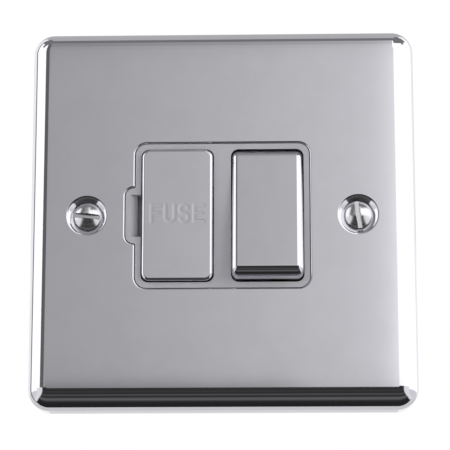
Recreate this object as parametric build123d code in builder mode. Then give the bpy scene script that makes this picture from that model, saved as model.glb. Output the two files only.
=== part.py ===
from build123d import *
from math import cos, hypot, radians, sin, sqrt
import os

# Switched fused connection unit for a single wall box, in mm.
# X is to the right and Z is up as seen from the front, and Y goes into the wall.
# A level is a distance in front of the wall, so levels below 0 are inside the wall box.

# Faceplate
plate_depth = 9.0
plate_corner = 5.5
plate_edge = 4.5
sheet = 1.0
lip_radius = 0.35
fixing_web = 4.05
fixing_inset = 12.85
dimple_radius = 4.55
dimple_floor = 0.55
dimple_lip = 0.6
screw_hole_radius = 2.0

# Fixing screws
screw_thread_radius = 1.75
screw_neck_radius = 1.5
screw_head_radius = 3.3
screw_head_rim = 0.15
screw_head_dome = 1.25
screw_slot_width = 0.95
screw_slot_depth = 1.0
screw_reach = 18.0
screw_seat_gap = 0.05
screw_neck_gap = 0.3
screw_chamfer = 0.5
left_slot_angle = -5.0
right_slot_angle = 98.0

# Front moulding
window_width = 16.2
window_corner = 1.7
bar_width = 3.8
side_rim = 1.25
end_rim = 1.25
insert_corner = 2.5
insert_recess = 0.25
aperture_gap = 0.15
notch_width = 2.2
notch_height = 12.5
notch_corner = 1.8
notch_root = 0.4
ramp_height = 9.6
ramp_run = 2.5
ramp_drop = 1.4
ramp_slot = 0.85
ramp_slot_depth = 3.2
flange_thickness = 1.8
flange_corner = 3.0
chute_wall = 1.2
ledge_width = 1.5
ledge_height = 4.0
ledge_offset = 9.0
ledge_gap = 0.05
boss_radius = 2.1
boss_clearance = 0.2

# Fuse and its carrier
carrier_gap = 0.25
carrier_proud = 1.0
carrier_cap_thickness = 2.4
carrier_cap_edge = 0.6
carrier_end_wall = 1.85
carrier_end_width = 11.0
carrier_web = 1.0
carrier_end_reach = 3.0
carrier_cheek = 1.6
carrier_cheek_height = 9.0
carrier_hook = 1.1
fuse_length = 25.4
fuse_radius = 3.175
fuse_cap_length = 6.0
fuse_cap_wall = 0.3
fuse_fit = 0.1
fuse_end_gap = 0.3
fuse_web_gap = 0.2

# Rocker
rocker_swing = 14.0
rocker_gap = 0.3
rocker_end_gap = 0.4
rocker_rise = 5.7
rocker_skirt = 1.9
rocker_end_radius = 2.0
rocker_side_radius = 1.6
rocker_cap_wall = 1.1
rocker_fit = 0.05
pivot_drop = 3.75
trunnion_radius = 1.5
trunnion_fit = 0.05
trunnion_reach = 0.95
trunnion_end_gap = 0.55
stem_length = 13.0
stem_gap = 0.6
stem_depth = 5.5
stem_shoulder = 1.0

# Switch mechanism
pole_spacing = 7.6
plunger_radius = 1.55
plunger_fit = 0.1
plunger_tip_radius = 1.2
plunger_reach = 10.0
plunger_length = 6.5
spring_radius = 1.2
spring_wire = 0.4
spring_turns = 4.0
spring_length = 5.4
arm_swing = 19.0
arm_width = 4.0
arm_thickness = 1.0
arm_upper = 11.2
arm_lower = 6.0
arm_clearance = 0.1
tip_position = 9.4
tip_radius = 1.5
moving_tip_height = 0.9
fixed_tip_height = 1.3
contact_gap = 0.1
tip_margin = 0.5
fulcrum_radius = 0.5
fulcrum_gap = 0.05
ear_thickness = 0.6
ear_gap = 0.25
ear_height = 5.0
ear_rise = 1.5
strip_thickness = 0.8

# Fuse clips
clip_thickness = 0.6
clip_width = 5.0
clip_lip = 1.6
clip_flare = 0.8

# Terminals and rear base
terminal_width = 8.0
terminal_length = 8.8
terminal_height = 8.4
terminal_pitch = 9.8
terminal_bore_radius = 2.1
terminal_bore_height = 5.4
terminal_fit = 0.1
terminal_screw_radius = 1.7
terminal_screw_fit = 0.05
terminal_screw_head = 2.3
terminal_screw_head_height = 1.6
terminal_screw_gap = 0.2
rear_slot_width = 0.8
rear_slot_angle = 30.0
terminal_access_radius = 2.7
earth_bore_spacing = 7.8
earth_wall = 1.2
load_live_shift = 2.5
base_wall = 1.6
base_clearance = 0.5
base_floor = 7.0
base_corner = 2.0
bay_wall = 0.9
bay_roof = 2.0
head_recess = 2.0
barrier_thickness = 0.8
assembly_screw_radius = 1.35
assembly_screw_head = 2.5
assembly_screw_head_height = 1.8
assembly_screw_bite = 6.0
assembly_tip_gap = 0.5
assembly_screw_fit = 0.1
assembly_head_recess = 8.0

# Plate studs and earth strap
stud_radius = 1.5
stud_fit = 0.1
stud_offset = 4.0
stud_end = 0.6
nut_flats = 5.5
nut_height = 2.4
strap_width = 3.0
strap_thickness = 0.8
strap_eye_radius = 3.2
strap_overlap = 6.0

# Positions across the front
window_height = fuse_length + 2 * (fuse_end_gap + carrier_end_wall + carrier_gap)
clip_position = (fuse_length - fuse_cap_length) / 2
insert_width = 2 * window_width + bar_width + 2 * side_rim
insert_height = window_height + 2 * end_rim
fixing_centres = insert_width + 2 * (notch_width + fixing_web + dimple_radius)
plate_size = fixing_centres + 2 * fixing_inset
rocker_x = (window_width + bar_width) / 2
carrier_x = -rocker_x
live_x = rocker_x - pole_spacing / 2
neutral_x = rocker_x + pole_spacing / 2
screw_columns = (-fixing_centres / 2, fixing_centres / 2)
chute_width = 2 * window_width + bar_width + 2 * chute_wall
chute_height = window_height + 2 * chute_wall
boss_x = chute_width / 2 + boss_radius + boss_clearance
base_width = 2 * (boss_x + boss_radius + boss_clearance + base_wall)
terminal_inner = window_height / 2 + terminal_fit
base_height = 2 * (terminal_inner + terminal_length)
stud_z = base_height / 2 + stud_offset
flange_height = 2 * (stud_z + strap_eye_radius)
supply_live_x = rocker_x - terminal_pitch / 2
supply_neutral_x = rocker_x + terminal_pitch / 2
load_live_x = carrier_x - load_live_shift
load_neutral_x = supply_neutral_x
earth_width = earth_bore_spacing + 2 * (terminal_bore_radius + earth_wall)
terminal_z = terminal_inner + terminal_length / 2
fixed_tip_z = tip_position * cos(radians(arm_swing / 2))
ramp_edge = carrier_x - window_width / 2
bay_reach = hypot(window_height / 2, pivot_drop)
rocker_reach = bay_reach - rocker_end_gap
carrier_width = window_width - 2 * carrier_gap
carrier_height = window_height - 2 * carrier_gap
terminal_names = (
    "supply_live_terminal",
    "supply_neutral_terminal",
    "load_live_terminal",
    "load_neutral_terminal",
    "earth_terminal",
)
terminal_layout = (
    (supply_live_x, 1, terminal_width, (supply_live_x,)),
    (supply_neutral_x, 1, terminal_width, (supply_neutral_x,)),
    (load_live_x, -1, terminal_width, (load_live_x,)),
    (load_neutral_x, -1, terminal_width, (load_neutral_x,)),
    (0, -1, earth_width, (-earth_bore_spacing / 2, earth_bore_spacing / 2)),
)
strip_slots = ((live_x, 1), (neutral_x, 1), (carrier_x, -1), (neutral_x, -1))

# Levels
face_level = plate_depth
seat_level = plate_depth - sheet
insert_level = face_level - insert_recess
cone_level = face_level - dimple_radius + screw_hole_radius
dimple_back = cone_level - dimple_floor
cup_radius = dimple_radius + (sqrt(2) - 1) * sheet
cup_foot = screw_hole_radius - dimple_floor + sqrt(2) * sheet
flange_level = seat_level - flange_thickness
carrier_level = insert_level + carrier_proud
carrier_cap_back = carrier_level - carrier_cap_thickness
fuse_level = carrier_cap_back - carrier_web - fuse_web_gap - fuse_radius
pivot_level = insert_level - pivot_drop
rocker_tilt = rocker_swing / 2
arm_tilt = arm_swing / 2
arm_level = pivot_level - plunger_reach - arm_clearance - arm_thickness
tip_edge_drop = (tip_position + tip_radius) * sin(radians(arm_tilt))
tip_drop = tip_edge_drop + moving_tip_height * cos(radians(arm_tilt))
fixed_tip_level = arm_level - tip_drop - contact_gap
strip_level = fixed_tip_level - fixed_tip_height
floor_level = strip_level - strip_thickness
rear_level = floor_level - base_floor
terminal_rear = rear_level + head_recess
terminal_front = terminal_rear + terminal_height
bore_level = terminal_rear + terminal_bore_height
bay_front = terminal_front + terminal_fit
step_level = bay_front + bay_roof
chute_back = step_level + base_clearance
plunger_top = plunger_reach - plunger_length
spring_pitch = (spring_length - spring_wire) / spring_turns


def wall_plane(level):
    """Plane along the wall at a level, drawn as seen from the front."""
    return Plane.XZ.offset(level)


def level_plane(z):
    """Level plane at a height, with local x to the right and local y out of the wall."""
    return Plane(origin=(0, 0, z), x_dir=(1, 0, 0), z_dir=(0, 0, -1))


def side_plane(x):
    """Upright plane square to the wall, with local x out of the wall and local y up."""
    return Plane(origin=(x, 0, 0), x_dir=(0, -1, 0), z_dir=(-1, 0, 0))


def tilted_plane(x, level, angle):
    """Wall plane at a point, tipped about X so that a positive angle faces it upwards."""
    return Plane(
        origin=(x, -level, 0),
        x_dir=(1, 0, 0),
        z_dir=(0, -cos(radians(angle)), sin(radians(angle))),
    )


def across(plane, x):
    """Plane square to a tilted plane at x, with local x out of it and local y up along it."""
    return Plane(origin=plane.origin + Vector(x, 0, 0), x_dir=plane.z_dir, z_dir=(-1, 0, 0))


def insert_outline(grow):
    """Outline of the insert's front with its screwdriver tab, grown all round."""
    with BuildSketch(mode=Mode.PRIVATE) as outline:
        RectangleRounded(insert_width, insert_height, insert_corner)
        with Locations((-insert_width / 2, 0)):
            RectangleRounded(2 * notch_width, notch_height, notch_corner)
        offset(amount=grow + notch_root)
        offset(amount=-notch_root)
    return outline.sketch


def rocker_block(shrink, bottom):
    """Block with the rocker's rounded ends and sides, added to the part being built."""
    top = rocker_rise - shrink
    with BuildSketch(across(rocker_plane, 0)) as profile:
        Circle(rocker_reach - shrink)
        with Locations((bottom, 0)):
            Rectangle(top - bottom, 2 * rocker_reach, align=(Align.MIN, Align.CENTER), mode=Mode.INTERSECT)
        fillet(profile.vertices().group_by(Axis.X)[-1], rocker_end_radius - shrink)
    block = extrude(profile.sketch, amount=window_width / 2 - rocker_gap - shrink, both=True)
    outward = Axis(rocker_plane.origin, rocker_plane.z_dir)
    left = block.faces().sort_by(Axis.X)[0].edges().sort_by(outward)[1:]
    right = block.faces().sort_by(Axis.X)[-1].edges().sort_by(outward)[1:]
    fillet(left + right, rocker_side_radius - shrink)


def rear_screw(x, z, seat, head_radius, head_height, shank_radius, shank_length):
    """Slotted cheese-head screw driven from the rear, added to the part being built."""
    with BuildSketch(wall_plane(seat)) as head:
        with Locations((x, z)):
            Circle(head_radius)
    extrude(head.sketch, amount=-head_height)
    with BuildSketch(wall_plane(seat)) as shank:
        with Locations((x, z)):
            Circle(shank_radius)
    extrude(shank.sketch, amount=shank_length)
    with BuildSketch(wall_plane(seat - head_height)) as slot:
        with Locations((x, z)):
            Rectangle(3 * head_radius, rear_slot_width, rotation=rear_slot_angle)
    extrude(slot.sketch, amount=head_height / 2, mode=Mode.SUBTRACT)


def fixing_screw(x, slot_angle):
    """Raised countersunk screw with a slot, seated in a plate dimple."""
    rim = face_level - dimple_radius + screw_head_radius + screw_seat_gap
    shoulder = rim + screw_head_rim
    crown = shoulder + screw_head_dome
    with BuildPart() as screw:
        with BuildSketch(level_plane(0)):
            with BuildLine():
                Polyline(
                    (x, crown),
                    (x, -screw_reach),
                    (x + screw_neck_radius, -screw_reach),
                    (x + screw_thread_radius, -screw_reach + screw_chamfer),
                    (x + screw_thread_radius, dimple_back - screw_neck_gap),
                    (x + screw_neck_radius, dimple_back - screw_neck_gap),
                    (x + screw_neck_radius, rim - screw_head_radius + screw_neck_radius),
                    (x + screw_head_radius, rim),
                    (x + screw_head_radius, shoulder),
                )
                TangentArc((x, crown), (x + screw_head_radius, shoulder), tangent=(1, 0))
            make_face()
        revolve(axis=Axis((x, 0, 0), (0, 1, 0)))
        with BuildSketch(wall_plane(crown)):
            with Locations((x, 0)):
                Rectangle(3 * screw_head_radius, screw_slot_width, rotation=slot_angle)
        extrude(amount=-screw_slot_depth, mode=Mode.SUBTRACT)
    return screw


def terminal(x, side, width, bores):
    """Brass terminal block with wire bores from its outer end and screw holes from the rear."""
    with BuildPart() as block:
        with BuildSketch(wall_plane(terminal_rear)):
            with Locations((x, side * terminal_z)):
                Rectangle(width, terminal_length)
        extrude(amount=terminal_height)
        with BuildSketch(level_plane(side * base_height / 2)):
            with Locations(*[(bore, bore_level) for bore in bores]):
                Circle(terminal_bore_radius)
        extrude(amount=side * terminal_length, mode=Mode.SUBTRACT)
        with BuildSketch(wall_plane(terminal_rear)):
            with Locations(*[(bore, side * terminal_z) for bore in bores]):
                Circle(terminal_screw_radius + terminal_screw_fit)
        extrude(amount=terminal_bore_height, mode=Mode.SUBTRACT)
    return block


def fuse_clip(side, foot_level, foot_end):
    """Sprung U clip for one fuse cap, on a leg whose foot runs out to a given height."""
    inner = fuse_radius + fuse_fit
    outer = inner + clip_thickness
    lip = fuse_level + clip_lip
    with BuildPart() as clip:
        with BuildSketch(level_plane(side * clip_position + clip_width / 2)):
            with Locations((carrier_x, fuse_level)):
                Circle(outer)
                Circle(inner, mode=Mode.SUBTRACT)
                Rectangle(2 * outer, outer, align=(Align.CENTER, Align.MIN), mode=Mode.SUBTRACT)
            for hand in (-1, 1):
                with BuildLine():
                    Polyline(
                        (carrier_x + hand * inner, fuse_level),
                        (carrier_x + hand * outer, fuse_level),
                        (carrier_x + hand * outer, lip),
                        (carrier_x + hand * (outer + clip_flare), lip + clip_flare),
                        (carrier_x + hand * (inner + clip_flare), lip + clip_flare),
                        (carrier_x + hand * inner, lip),
                        close=True,
                    )
                make_face()
        extrude(amount=clip_width)
        with BuildSketch(wall_plane(foot_level)):
            with Locations((carrier_x, side * clip_position)):
                Rectangle(arm_width, strip_thickness)
        extrude(amount=fuse_level - inner - clip_thickness / 2 - foot_level)
        with BuildSketch(wall_plane(foot_level)):
            with Locations((carrier_x, (side * clip_position + foot_end) / 2)):
                Rectangle(arm_width, abs(foot_end - side * clip_position))
        extrude(amount=strip_thickness)
    return clip


def pivot_bracket(x, tail):
    """Channel with a fulcrum bar between its ears, on a floor strip that leads to its circuit."""
    half_width = arm_width / 2 + ear_gap
    ear_top = arm_level + ear_rise
    with BuildPart() as bracket:
        with BuildSketch(wall_plane(floor_level)):
            with Locations((x, 0)):
                Rectangle(2 * (half_width + ear_thickness), ear_height)
            add(tail)
        extrude(amount=strip_thickness)
        with BuildSketch(wall_plane(floor_level)):
            with GridLocations(2 * half_width + ear_thickness, 0, 2, 1):
                with Locations((x, 0)):
                    Rectangle(ear_thickness, ear_height)
        extrude(amount=ear_top - floor_level)
        with BuildSketch(side_plane(x)):
            with Locations((arm_level, 0)):
                Circle(fulcrum_radius)
        extrude(amount=half_width + ear_thickness / 2, both=True)
    return bracket


def contact_arm(x):
    """Rocking strip with a round groove that rests on its fulcrum bar at the arm level."""
    with BuildPart() as arm:
        with BuildSketch(tilted_plane(x, arm_level, -arm_tilt)):
            with Locations((0, (arm_upper - arm_lower) / 2)):
                RectangleRounded(arm_width, arm_upper + arm_lower, arm_width / 4)
        extrude(amount=arm_thickness)
        with BuildSketch(side_plane(x)):
            with Locations((arm_level, 0)):
                Circle(fulcrum_radius + fulcrum_gap)
        extrude(amount=arm_width, both=True, mode=Mode.SUBTRACT)
    return arm


def moving_tip(x):
    """Contact rivet under the upper end of a rocking strip."""
    with BuildPart() as tip:
        with BuildSketch(tilted_plane(x, arm_level, -arm_tilt)):
            with Locations((0, tip_position)):
                Circle(tip_radius)
        extrude(amount=-moving_tip_height)
    return tip


def fixed_contact(x):
    """Floor strip from a supply terminal to the spot under the rocking contact."""
    inner_end = fixed_tip_z - tip_radius - tip_margin
    with BuildPart() as strip:
        with BuildSketch(wall_plane(floor_level)):
            with Locations((x, (inner_end + terminal_inner) / 2)):
                Rectangle(arm_width, terminal_inner - inner_end)
        extrude(amount=strip_thickness)
    return strip


def floor_strip(*spans):
    """Sketch of floor strips, each given as x and z limits, joined into one outline."""
    with BuildSketch(mode=Mode.PRIVATE) as strip:
        for left, right, low, high in spans:
            with Locations(((left + right) / 2, (low + high) / 2)):
                Rectangle(right - left, high - low)
    return strip.sketch


def save(piece, name):
    """Label a finished sub-part and write it to its own file."""
    piece.part.label = name
    export_step(piece.part, f"parts/{name}.step")


os.makedirs("parts", exist_ok=True)
insert_face = insert_outline(0)
aperture = insert_outline(aperture_gap)
rocker_plane = tilted_plane(rocker_x, pivot_level, rocker_tilt)

# Faceplate, pressed from sheet with dimples for the fixing screws
with BuildPart() as faceplate:
    with BuildSketch(wall_plane(0)):
        RectangleRounded(plate_size, plate_size, plate_corner)
    extrude(amount=plate_depth)
    fillet(faceplate.faces().sort_by(Axis.Y)[0].edges(), plate_edge)
    offset(amount=-sheet, openings=faceplate.faces().sort_by(Axis.Y)[-1])
    for x in screw_columns:
        with BuildSketch(level_plane(0)):
            with BuildLine():
                Polyline(
                    (x, seat_level),
                    (x + cup_radius, seat_level),
                    (x + cup_foot, dimple_back),
                    (x, dimple_back),
                    close=True,
                )
            make_face()
        revolve(axis=Axis((x, 0, 0), (0, 1, 0)))
        with BuildSketch(level_plane(0)):
            with BuildLine():
                Polyline(
                    (x, face_level),
                    (x + dimple_radius, face_level),
                    (x + screw_hole_radius, cone_level),
                    (x + screw_hole_radius, dimple_back),
                    (x, dimple_back),
                    close=True,
                )
            make_face()
        revolve(axis=Axis((x, 0, 0), (0, 1, 0)), mode=Mode.SUBTRACT)
    with BuildSketch(wall_plane(0)):
        add(aperture)
    extrude(amount=plate_depth, mode=Mode.SUBTRACT)
    rims = faceplate.faces().sort_by(Axis.Y)[0].inner_wires().sort_by(SortBy.LENGTH)
    fillet(rims[0].edges() + rims[1].edges(), dimple_lip)
    rims = faceplate.faces().sort_by(Axis.Y)[0].inner_wires().sort_by(SortBy.LENGTH)
    fillet(rims[-1].edges(), lip_radius)
save(faceplate, "faceplate")

# Front moulding, with the windows, the fuse chute and the rocker bearings
with BuildPart() as front_moulding:
    with BuildSketch(wall_plane(flange_level)):
        RectangleRounded(base_width, flange_height, flange_corner)
    extrude(amount=flange_thickness)
    with BuildSketch(wall_plane(flange_level)):
        with GridLocations(fixing_centres, 0, 2, 1):
            Circle(cup_radius + base_clearance)
    extrude(amount=flange_thickness, mode=Mode.SUBTRACT)
    with BuildSketch(wall_plane(flange_level)):
        add(insert_face)
    extrude(amount=insert_level - flange_level)
    with BuildSketch(wall_plane(chute_back)):
        RectangleRounded(chute_width, chute_height, window_corner + chute_wall)
    extrude(amount=flange_level - chute_back)
    with BuildSketch(wall_plane(step_level)):
        with GridLocations(2 * boss_x, 0, 2, 1):
            Circle(boss_radius)
    extrude(amount=flange_level - step_level)
    with BuildSketch(wall_plane(chute_back)):
        with Locations((carrier_x, 0)):
            RectangleRounded(window_width, window_height, window_corner)
    extrude(amount=insert_level - chute_back, mode=Mode.SUBTRACT)
    with BuildSketch(side_plane(rocker_x)):
        with Locations((pivot_level, 0)):
            Circle(bay_reach)
            Rectangle(pivot_level - chute_back, 2 * bay_reach, align=(Align.MAX, Align.CENTER))
        with Locations((chute_back, 0)):
            Rectangle(
                insert_level - chute_back,
                2 * bay_reach,
                align=(Align.MIN, Align.CENTER),
                mode=Mode.INTERSECT,
            )
    extrude(amount=window_width / 2, both=True, mode=Mode.SUBTRACT)
    bay_corners = front_moulding.edges().filter_by(GeomType.CIRCLE)
    fillet(bay_corners.filter_by(lambda edge: abs(edge.radius - bay_reach) < 0.01), window_corner)
    with BuildSketch(wall_plane(chute_back)):
        with Locations((carrier_x, 0)):
            with GridLocations(window_width - ledge_width, 2 * ledge_offset, 2, 2):
                Rectangle(ledge_width, ledge_height)
    extrude(amount=carrier_cap_back - ledge_gap - chute_back)
    with BuildSketch(side_plane(rocker_x)):
        with Locations((pivot_level, 0)):
            Circle(trunnion_radius + trunnion_fit)
            Rectangle(
                pivot_level - chute_back,
                2 * (trunnion_radius + trunnion_fit),
                align=(Align.MAX, Align.CENTER),
            )
    extrude(amount=window_width / 2 + trunnion_reach + trunnion_end_gap, both=True, mode=Mode.SUBTRACT)
    with BuildSketch(level_plane(ramp_height / 2)):
        with BuildLine():
            Polyline(
                (ramp_edge - ramp_run, insert_level),
                (ramp_edge - ramp_slot, insert_level - ramp_drop),
                (ramp_edge - ramp_slot, insert_level - ramp_slot_depth),
                (ramp_edge, insert_level - ramp_slot_depth),
                (ramp_edge, insert_level),
                close=True,
            )
        make_face()
    extrude(amount=ramp_height, mode=Mode.SUBTRACT)
    with BuildSketch(wall_plane(flange_level)):
        with GridLocations(0, 2 * stud_z, 1, 2):
            Circle(stud_radius + stud_fit)
    extrude(amount=flange_thickness, mode=Mode.SUBTRACT)
    with BuildSketch(wall_plane(step_level)):
        with GridLocations(2 * boss_x, 0, 2, 1):
            Circle(assembly_screw_radius + assembly_screw_fit)
    extrude(amount=assembly_screw_bite + assembly_tip_gap, mode=Mode.SUBTRACT)
save(front_moulding, "front_moulding")

# Rear base, with the switch chamber, the terminal bays and the screw recesses
with BuildPart() as rear_base:
    with BuildSketch(wall_plane(rear_level)):
        RectangleRounded(base_width, base_height, base_corner)
    extrude(amount=flange_level - rear_level)
    with BuildSketch(wall_plane(step_level)):
        Rectangle(base_width - 2 * base_wall, base_height - 2 * base_wall)
    extrude(amount=flange_level - step_level, mode=Mode.SUBTRACT)
    with BuildSketch(wall_plane(floor_level)):
        Rectangle(chute_width, 2 * (terminal_inner - bay_wall))
        with Locations((rocker_x, 0)):
            Rectangle(barrier_thickness, 2 * (terminal_inner - bay_wall), mode=Mode.SUBTRACT)
    extrude(amount=step_level - floor_level, mode=Mode.SUBTRACT)
    for x, side, width, bores in terminal_layout:
        with BuildSketch(wall_plane(terminal_rear)):
            with Locations((x, side * (terminal_inner + base_height / 2) / 2)):
                Rectangle(width + 2 * terminal_fit, base_height / 2 - terminal_inner)
        extrude(amount=bay_front - terminal_rear, mode=Mode.SUBTRACT)
        with BuildSketch(wall_plane(rear_level)):
            with Locations(*[(bore, side * terminal_z) for bore in bores]):
                Circle(terminal_access_radius)
        extrude(amount=head_recess, mode=Mode.SUBTRACT)
    with BuildSketch(wall_plane(floor_level)):
        with Locations(*[(x, side * (terminal_inner - bay_wall / 2)) for x, side in strip_slots]):
            Rectangle(arm_width + 2 * terminal_fit, bay_wall)
    extrude(amount=strip_thickness + terminal_fit, mode=Mode.SUBTRACT)
    with BuildSketch(wall_plane(rear_level)):
        with GridLocations(2 * boss_x, 0, 2, 1):
            Circle(assembly_screw_radius + 2 * assembly_screw_fit)
    extrude(amount=step_level - rear_level, mode=Mode.SUBTRACT)
    with BuildSketch(wall_plane(rear_level)):
        with GridLocations(2 * boss_x, 0, 2, 1):
            Circle(assembly_screw_head + 2 * assembly_screw_fit)
    extrude(amount=assembly_head_recess, mode=Mode.SUBTRACT)
    with BuildSketch(wall_plane(rear_level)):
        with Locations((carrier_x, terminal_inner + (terminal_length - base_wall) / 2)):
            Rectangle(window_width, terminal_length - base_wall)
    extrude(amount=bay_front - rear_level, mode=Mode.SUBTRACT)
save(rear_base, "rear_base")

# Fixing screws, in the standard pair of box fixings
left_fixing_screw = fixing_screw(screw_columns[0], left_slot_angle)
right_fixing_screw = fixing_screw(screw_columns[1], right_slot_angle)
save(left_fixing_screw, "left_fixing_screw")
save(right_fixing_screw, "right_fixing_screw")

# Plate studs and nuts, which clamp the moulding to the plate
with BuildPart() as plate_studs:
    with BuildSketch(wall_plane(stud_end)):
        with GridLocations(0, 2 * stud_z, 1, 2):
            Circle(stud_radius)
    extrude(amount=seat_level - stud_end)
save(plate_studs, "plate_studs")

with BuildPart() as stud_nuts:
    for z, seat in ((stud_z, flange_level), (-stud_z, flange_level - strap_thickness)):
        with BuildSketch(wall_plane(seat)):
            with Locations((0, z)):
                RegularPolygon(nut_flats / 2, 6, major_radius=False)
                Circle(stud_radius + stud_fit, mode=Mode.SUBTRACT)
        extrude(amount=-nut_height)
save(stud_nuts, "stud_nuts")

# Earth strap, from the lower plate stud down the outside of the base
with BuildPart() as earth_strap:
    with BuildSketch(side_plane(0)):
        with Locations((flange_level, -base_height / 2)):
            Rectangle(strap_thickness, stud_offset, align=(Align.MAX, Align.MAX))
            Rectangle(
                flange_level - terminal_front + strap_overlap,
                strap_thickness,
                align=(Align.MAX, Align.MAX),
            )
    extrude(amount=strap_width / 2, both=True)
    with BuildSketch(wall_plane(flange_level)):
        with Locations((0, -stud_z)):
            Circle(strap_eye_radius)
    extrude(amount=-strap_thickness)
    with BuildSketch(wall_plane(flange_level)):
        with Locations((0, -stud_z)):
            Circle(stud_radius + stud_fit)
    extrude(amount=-strap_thickness, mode=Mode.SUBTRACT)
save(earth_strap, "earth_strap")

# Assembly screws, from the rear of the base into the moulding
with BuildPart() as assembly_screws:
    for x in (-boss_x, boss_x):
        rear_screw(
            x,
            0,
            rear_level + assembly_head_recess,
            assembly_screw_head,
            assembly_screw_head_height,
            assembly_screw_radius,
            step_level - rear_level - assembly_head_recess + assembly_screw_bite,
        )
save(assembly_screws, "assembly_screws")

# Terminals and their screws
for name, layout in zip(terminal_names, terminal_layout):
    save(terminal(*layout), name)

with BuildPart() as terminal_screws:
    for x, side, width, bores in terminal_layout:
        for bore in bores:
            rear_screw(
                bore,
                side * terminal_z,
                terminal_rear,
                terminal_screw_head,
                terminal_screw_head_height,
                terminal_screw_radius,
                terminal_bore_height - terminal_bore_radius - terminal_screw_gap,
            )
save(terminal_screws, "terminal_screws")

# Switch contacts
upper_foot_end = clip_position + clip_width / 2
live_tail = floor_strip(
    (carrier_x - arm_width / 2, live_x, -arm_width / 2, arm_width / 2),
    (carrier_x - arm_width / 2, carrier_x + arm_width / 2, -arm_width / 2, upper_foot_end),
)
neutral_tail = floor_strip((neutral_x - arm_width / 2, neutral_x + arm_width / 2, -terminal_inner, 0))
save(pivot_bracket(live_x, live_tail), "live_pivot_bracket")
save(pivot_bracket(neutral_x, neutral_tail), "neutral_pivot_bracket")
for pole, x in (("live", live_x), ("neutral", neutral_x)):
    save(fixed_contact(x), f"{pole}_fixed_contact")
    save(contact_arm(x), f"{pole}_contact_arm")
    save(moving_tip(x), f"{pole}_moving_tip")

with BuildPart() as fixed_tips:
    with BuildSketch(wall_plane(strip_level)):
        with Locations((live_x, fixed_tip_z), (neutral_x, fixed_tip_z)):
            Circle(tip_radius)
    extrude(amount=fixed_tip_height)
save(fixed_tips, "fixed_tips")

# Fuse clips
save(fuse_clip(1, strip_level, upper_foot_end), "upper_fuse_clip")
save(fuse_clip(-1, floor_level, -terminal_inner), "lower_fuse_clip")

# Rocker
with BuildPart() as rocker_cap:
    rocker_block(0, rocker_skirt)
    outward = Axis(rocker_plane.origin, rocker_plane.z_dir)
    offset(amount=-rocker_cap_wall, openings=rocker_cap.faces().sort_by(outward)[0])
save(rocker_cap, "rocker_cap")

with BuildPart() as rocker_body:
    rocker_block(rocker_cap_wall + rocker_fit, stem_shoulder)
    with BuildSketch(rocker_plane.offset(stem_shoulder)):
        Rectangle(window_width - 2 * stem_gap, stem_length)
    extrude(amount=-stem_shoulder - stem_depth)
    with BuildSketch(across(rocker_plane, 0)):
        Circle(trunnion_radius)
    extrude(amount=window_width / 2 + trunnion_reach, both=True)
    with BuildSketch(rocker_plane.offset(-stem_depth)):
        with GridLocations(pole_spacing, 0, 2, 1):
            Circle(plunger_radius + plunger_fit)
    extrude(amount=stem_depth - plunger_top + spring_length, mode=Mode.SUBTRACT)
save(rocker_body, "rocker_body")

with BuildPart() as plungers:
    for x in (-pole_spacing / 2, pole_spacing / 2):
        with BuildSketch(across(rocker_plane, x)):
            with BuildLine():
                Polyline(
                    (-plunger_reach, 0),
                    (-plunger_top, 0),
                    (-plunger_top, plunger_radius),
                    (-plunger_reach + 2 * plunger_tip_radius, plunger_radius),
                    (-plunger_reach + plunger_tip_radius, plunger_tip_radius),
                )
                TangentArc(
                    (-plunger_reach, 0),
                    (-plunger_reach + plunger_tip_radius, plunger_tip_radius),
                    tangent=(0, 1),
                )
            make_face()
        revolve(axis=Axis(rocker_plane.origin + Vector(x, 0, 0), rocker_plane.z_dir))
save(plungers, "plungers")

with BuildPart() as plunger_springs:
    for x in (-pole_spacing / 2, pole_spacing / 2):
        foot = rocker_plane.from_local_coords((x, 0, -plunger_top + spring_wire / 2))
        with BuildLine() as coil:
            Helix(spring_pitch, spring_pitch * spring_turns, spring_radius, foot, rocker_plane.z_dir)
        start = coil.line @ 0
        with BuildSketch(Plane(origin=start, x_dir=start - foot, z_dir=coil.line % 0)):
            Rectangle(spring_wire, spring_wire)
        sweep(path=coil.line, is_frenet=True)
save(plunger_springs, "plunger_springs")

# Fuse carrier and fuse
with BuildPart() as fuse_carrier_cap:
    with BuildSketch(wall_plane(carrier_cap_back)):
        with Locations((carrier_x, 0)):
            RectangleRounded(carrier_width, carrier_height, window_corner)
    extrude(amount=carrier_cap_thickness)
    fillet(fuse_carrier_cap.faces().sort_by(Axis.Y)[0].edges(), carrier_cap_edge)
save(fuse_carrier_cap, "fuse_carrier_cap")

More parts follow.
